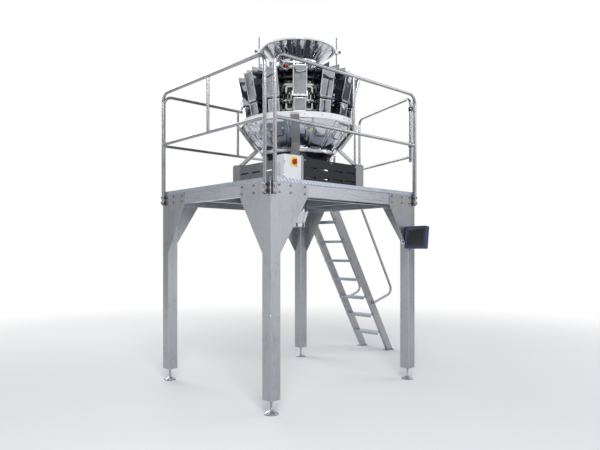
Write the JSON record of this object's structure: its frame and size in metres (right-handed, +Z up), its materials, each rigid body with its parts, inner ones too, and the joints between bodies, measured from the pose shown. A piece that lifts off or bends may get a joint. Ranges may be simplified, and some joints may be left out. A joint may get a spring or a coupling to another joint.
{
  "type": "multihead weigher on an access platform",
  "caption": "Ring of weighing hoppers over a collecting funnel, standing on a raised platform with guard rails, a gate and an access stair.",
  "frame": {"origin": "on the floor, under the middle of the front left leg's foot", "axes": "+Z up, +X along the platform's front edge towards the stair, +Y along its left edge"},
  "size_m": [3.4849, 2.2509, 3.9],
  "materials": {
    "frame_steel": "brushed stainless steel",
    "foot_steel": "turned steel",
    "deck_steel": "pressed grip planks",
    "rail_tube": "polished tube",
    "clamp_dark": "dark clamps",
    "base_grey": "mid grey",
    "white_paint": "white, satin",
    "chute_steel": "bright sheet",
    "hopper_mirror": "mirror-polished sheet",
    "drive_dark": "dark housing",
    "knob_red": "red",
    "plate_yellow": "yellow",
    "panel_dark": "dark blue bezel"
  },
  "bodies": {
    "platform": {"base_panels": "base_grey", "base_pedestals": "frame_steel", "beam_back": "frame_steel", "beam_front": "frame_steel", "beam_left": "frame_steel", "beam_right": "frame_steel", "button_box": "white_paint", "central_housing": "drive_dark", "chute_ring": "white_paint", "clamp_knobs": "knob_red", "collecting_funnel": "chute_steel", "control_cabinet": "white_paint", "deck_joists": "frame_steel", "deck_planks": "deck_steel", "discharge_chutes": "chute_steel", "discharge_spout": "chute_steel", "dispersion_cone": "chute_steel", "drive_units": "drive_dark", "feed_gates": "hopper_mirror", "feed_hoppers": "hopper_mirror", "feeder_drives": "drive_dark", "feeder_pans": "hopper_mirror", "funnel_carrier": "white_paint", "gate_post": "rail_tube", "guardrail_back": "rail_tube", "guardrail_front": "rail_tube", "guardrail_left": "rail_tube", "hmi_bracket": "frame_steel", "infeed_funnel": "chute_steel", "infeed_rods": "foot_steel", "isolator_plate": "plate_yellow", "leg_back_left": "frame_steel", "leg_back_right": "frame_steel", "leg_front_left": "frame_steel", "leg_front_right": "frame_steel", "levelling_feet": "foot_steel", "rail_clamps": "clamp_dark", "stair_handrails": "rail_tube", "stair_stringers": "frame_steel", "stair_treads": "frame_steel", "support_struts": "base_grey", "weigh_hoppers": "hopper_mirror"},
    "weigh_gate_01": {"weigh_gate_01": "hopper_mirror"},
    "weigh_gate_02": {"weigh_gate_02": "hopper_mirror"},
    "weigh_gate_03": {"weigh_gate_03": "hopper_mirror"},
    "weigh_gate_04": {"weigh_gate_04": "hopper_mirror"},
    "weigh_gate_05": {"weigh_gate_05": "hopper_mirror"},
    "weigh_gate_06": {"weigh_gate_06": "hopper_mirror"},
    "weigh_gate_07": {"weigh_gate_07": "hopper_mirror"},
    "weigh_gate_08": {"weigh_gate_08": "hopper_mirror"},
    "weigh_gate_09": {"weigh_gate_09": "hopper_mirror"},
    "weigh_gate_10": {"weigh_gate_10": "hopper_mirror"},
    "weigh_gate_11": {"weigh_gate_11": "hopper_mirror"},
    "weigh_gate_12": {"weigh_gate_12": "hopper_mirror"},
    "weigh_gate_13": {"weigh_gate_13": "hopper_mirror"},
    "weigh_gate_14": {"weigh_gate_14": "hopper_mirror"},
    "access_gate": {"access_gate": "rail_tube"},
    "isolator_knob": {"isolator_knob": "knob_red"},
    "hmi_panel": {"hmi_panel": "panel_dark"}
  },
  "joints": [
    {"name": "weigh_gate_01_hinge", "type": "hinge", "parent": "platform", "child": "weigh_gate_01", "pos_m": [0.69303, 0.37684, 2.897], "axis": [-0.7593, 0.6508, 0], "range_deg": [0, 55], "stiffness_Nm_per_rad": 2, "springref_deg": -28.65},
    {"name": "weigh_gate_02_hinge", "type": "hinge", "parent": "platform", "child": "weigh_gate_02", "pos_m": [0.9333, 0.25047, 2.897], "axis": [-0.9664, 0.2569, 0], "range_deg": [0, 55], "stiffness_Nm_per_rad": 2, "springref_deg": -28.65},
    {"name": "weigh_gate_03_hinge", "type": "hinge", "parent": "platform", "child": "weigh_gate_03", "pos_m": [1.2046, 0.24086, 2.897], "axis": [-0.9822, -0.1879, 0], "range_deg": [0, 55], "stiffness_Nm_per_rad": 2, "springref_deg": -28.65},
    {"name": "weigh_gate_04_hinge", "type": "hinge", "parent": "platform", "child": "weigh_gate_04", "pos_m": [1.45321, 0.34992, 2.897], "axis": [-0.8034, -0.5954, 0], "range_deg": [0, 55], "stiffness_Nm_per_rad": 2, "springref_deg": -28.65},
    {"name": "weigh_gate_05_hinge", "type": "hinge", "parent": "platform", "child": "weigh_gate_05", "pos_m": [1.62988, 0.55604, 2.897], "axis": [-0.4655, -0.885, 0], "range_deg": [0, 55], "stiffness_Nm_per_rad": 2, "springref_deg": -28.65},
    {"name": "weigh_gate_06_hinge", "type": "hinge", "parent": "platform", "child": "weigh_gate_06", "pos_m": [1.69962, 0.81841, 2.897], "axis": [-0.0354, -0.9994, 0], "range_deg": [0, 55], "stiffness_Nm_per_rad": 2, "springref_deg": -28.65},
    {"name": "weigh_gate_07_hinge", "type": "hinge", "parent": "platform", "child": "weigh_gate_07", "pos_m": [1.64861, 1.08505, 2.897], "axis": [0.4017, -0.9158, 0], "range_deg": [0, 55], "stiffness_Nm_per_rad": 2, "springref_deg": -28.65},
    {"name": "weigh_gate_08_hinge", "type": "hinge", "parent": "platform", "child": "weigh_gate_08", "pos_m": [1.48697, 1.30316, 2.897], "axis": [0.7593, -0.6508, 0], "range_deg": [0, 55], "stiffness_Nm_per_rad": 2, "springref_deg": -28.65},
    {"name": "weigh_gate_09_hinge", "type": "hinge", "parent": "platform", "child": "weigh_gate_09", "pos_m": [1.2467, 1.42953, 2.897], "axis": [0.9664, -0.2569, 0], "range_deg": [0, 55], "stiffness_Nm_per_rad": 2, "springref_deg": -28.65},
    {"name": "weigh_gate_10_hinge", "type": "hinge", "parent": "platform", "child": "weigh_gate_10", "pos_m": [0.9754, 1.43914, 2.897], "axis": [0.9822, 0.1879, 0], "range_deg": [0, 55], "stiffness_Nm_per_rad": 2, "springref_deg": -28.65},
    {"name": "weigh_gate_11_hinge", "type": "hinge", "parent": "platform", "child": "weigh_gate_11", "pos_m": [0.72679, 1.33008, 2.897], "axis": [0.8034, 0.5954, 0], "range_deg": [0, 55], "stiffness_Nm_per_rad": 2, "springref_deg": -28.65},
    {"name": "weigh_gate_12_hinge", "type": "hinge", "parent": "platform", "child": "weigh_gate_12", "pos_m": [0.55012, 1.12396, 2.897], "axis": [0.4655, 0.885, 0], "range_deg": [0, 55], "stiffness_Nm_per_rad": 2, "springref_deg": -28.65},
    {"name": "weigh_gate_13_hinge", "type": "hinge", "parent": "platform", "child": "weigh_gate_13", "pos_m": [0.48038, 0.86159, 2.897], "axis": [0.0354, 0.9994, 0], "range_deg": [0, 55], "stiffness_Nm_per_rad": 2, "springref_deg": -28.65},
    {"name": "weigh_gate_14_hinge", "type": "hinge", "parent": "platform", "child": "weigh_gate_14", "pos_m": [0.53138, 0.59495, 2.897], "axis": [-0.4017, 0.9158, 0], "range_deg": [0, 55], "stiffness_Nm_per_rad": 2, "springref_deg": -28.65},
    {"name": "access_gate_hinge", "type": "hinge", "parent": "platform", "child": "access_gate", "pos_m": [2.104, 0.02, 2.678], "axis": [0, 0, -1], "range_deg": [-18.8, 70]},
    {"name": "isolator_turn", "type": "hinge", "parent": "platform", "child": "isolator_knob", "pos_m": [0.465, 0.21, 2.342], "axis": [0, 1, 0], "range_deg": [0, 90]},
    {"name": "hmi_swivel", "type": "hinge", "parent": "platform", "child": "hmi_panel", "pos_m": [1.99, -0.2075, 1.6], "axis": [0, 0, 1], "range_deg": [0, 90]}
  ]
}
